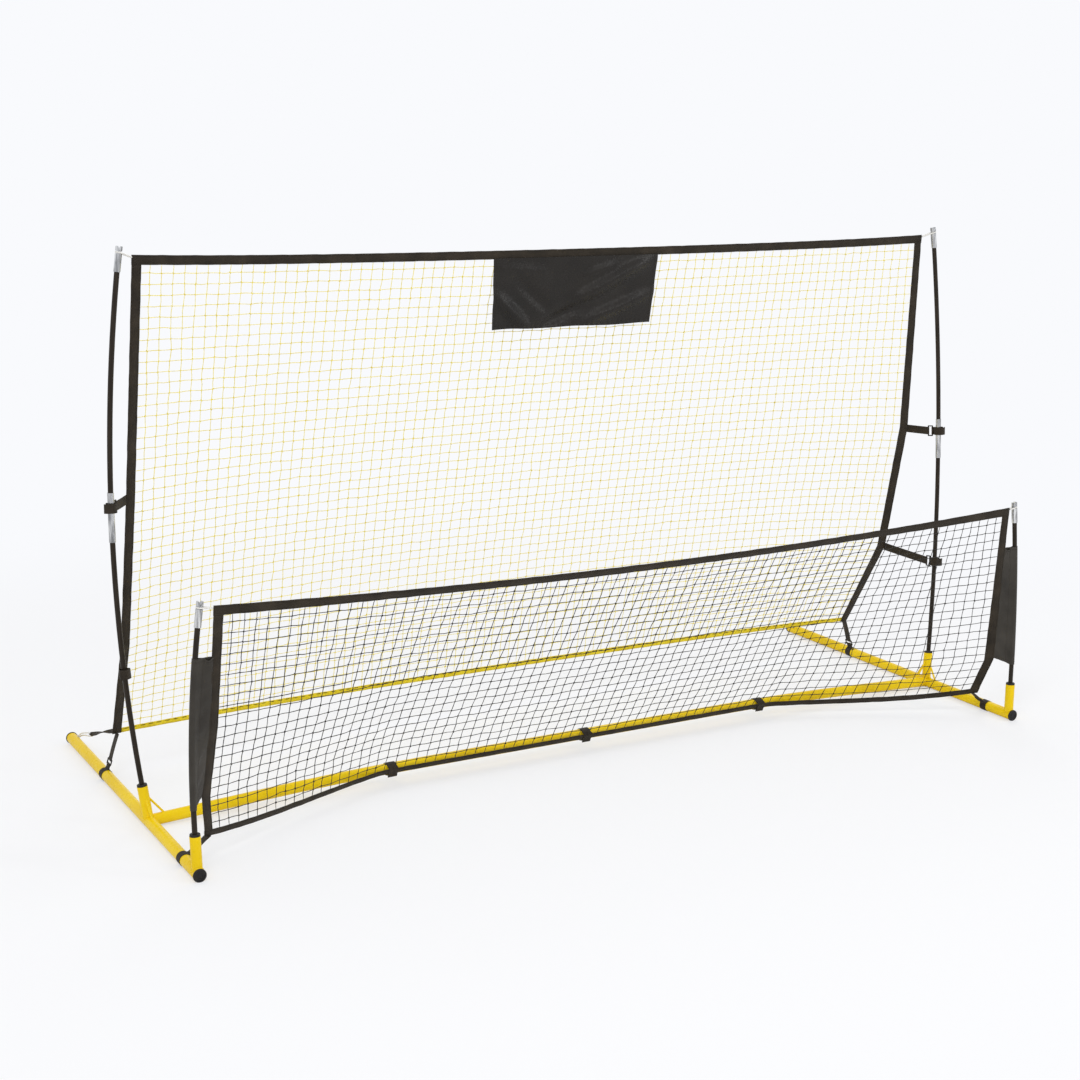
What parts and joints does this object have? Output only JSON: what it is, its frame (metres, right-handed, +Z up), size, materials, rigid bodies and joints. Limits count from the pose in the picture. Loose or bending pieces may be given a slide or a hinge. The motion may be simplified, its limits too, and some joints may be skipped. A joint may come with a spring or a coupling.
{
  "type": "two-sided football rebounder",
  "caption": "Free-standing ball rebounder: an H-shaped tube base with a low net on short poles in front and a tall net leaning back from long flexible poles.",
  "frame": {"origin": "on the floor, midway between the two side rails and midway along them", "axes": "+X to the right seen from the front, along the crossbar; +Y to the back, along the side rails; +Z up"},
  "size_m": [2.1906, 0.912, 1.1909],
  "materials": {
    "painted_tube": "gloss powder coat",
    "steel": "satin",
    "black_plastic": "moulded, fine grain",
    "fibreglass": "smooth resin",
    "silver_metal": "polished",
    "yellow_netting": "knotted mesh",
    "black_netting": "knotted mesh",
    "yellow_webbing": "woven tape",
    "black_webbing": "woven tape",
    "banner_cloth": "woven sheet",
    "sleeve_cloth": "woven sheet",
    "ring_wire": "black coat",
    "white_elastic": "braided cover"
  },
  "bodies": {
    "frame": {"rail_left": "painted_tube", "rail_right": "painted_tube", "crossbar_stub_left": "painted_tube", "crossbar_stub_right": "painted_tube", "crossbar_left": "painted_tube", "crossbar_right": "painted_tube", "button_spring_left": "steel", "button_spring_middle": "steel", "button_spring_right": "steel", "front_socket_left": "painted_tube", "front_socket_right": "painted_tube", "rear_socket_left": "painted_tube", "rear_socket_right": "painted_tube", "brace_rods_left": "painted_tube", "brace_rods_right": "painted_tube", "rail_cap_front_left": "black_plastic", "rail_cap_front_right": "black_plastic", "rail_cap_rear_left": "black_plastic", "rail_cap_rear_right": "black_plastic", "front_collar_left": "black_plastic", "front_collar_right": "black_plastic", "rear_collar_left": "black_plastic", "rear_collar_right": "black_plastic", "front_pole_left": "fibreglass", "front_pole_right": "fibreglass", "rear_pole_lower_left": "fibreglass", "rear_pole_lower_right": "fibreglass", "rear_pole_upper_left": "fibreglass", "rear_pole_upper_right": "fibreglass", "pole_splice_left": "silver_metal", "pole_splice_right": "silver_metal", "front_tip_left": "silver_metal", "front_tip_right": "silver_metal", "rear_tip_left": "silver_metal", "rear_tip_right": "silver_metal", "tall_net": "yellow_netting", "tall_net_top_band": "black_webbing", "tall_net_side_band_left": "black_webbing", "tall_net_side_band_right": "black_webbing", "tall_net_hem": "yellow_webbing", "banner_panel": "banner_cloth", "low_net": "black_netting", "low_net_top_band": "black_webbing", "low_net_side_band_left": "black_webbing", "low_net_side_band_right": "black_webbing", "low_net_bottom_band": "black_webbing", "pole_sleeve_left": "sleeve_cloth", "pole_sleeve_right": "sleeve_cloth", "crossbar_straps": "black_webbing", "pole_straps": "black_webbing", "corner_straps": "black_webbing", "strap_tabs": "black_webbing", "strap_rings": "ring_wire", "net_tails": "black_webbing", "tip_elastic_loops": "white_elastic", "rear_elastic_loops": "white_elastic"},
    "snap_button_left": {"snap_button_left": "steel"},
    "snap_button_middle": {"snap_button_middle": "steel"},
    "snap_button_right": {"snap_button_right": "steel"}
  },
  "joints": [
    {"name": "press_left_button", "type": "slide", "parent": "frame", "child": "snap_button_left", "axis": [0, -1, 0], "range_m": [0, 0.0043], "stiffness_N_per_m": 1000, "springref_m": -0.004, "deforming": ["button_spring_left"]},
    {"name": "press_middle_button", "type": "slide", "parent": "frame", "child": "snap_button_middle", "axis": [0, -1, 0], "range_m": [0, 0.0043], "stiffness_N_per_m": 1000, "springref_m": -0.004, "deforming": ["button_spring_middle"]},
    {"name": "press_right_button", "type": "slide", "parent": "frame", "child": "snap_button_right", "axis": [0, -1, 0], "range_m": [0, 0.0043], "stiffness_N_per_m": 1000, "springref_m": -0.004, "deforming": ["button_spring_right"]}
  ]
}
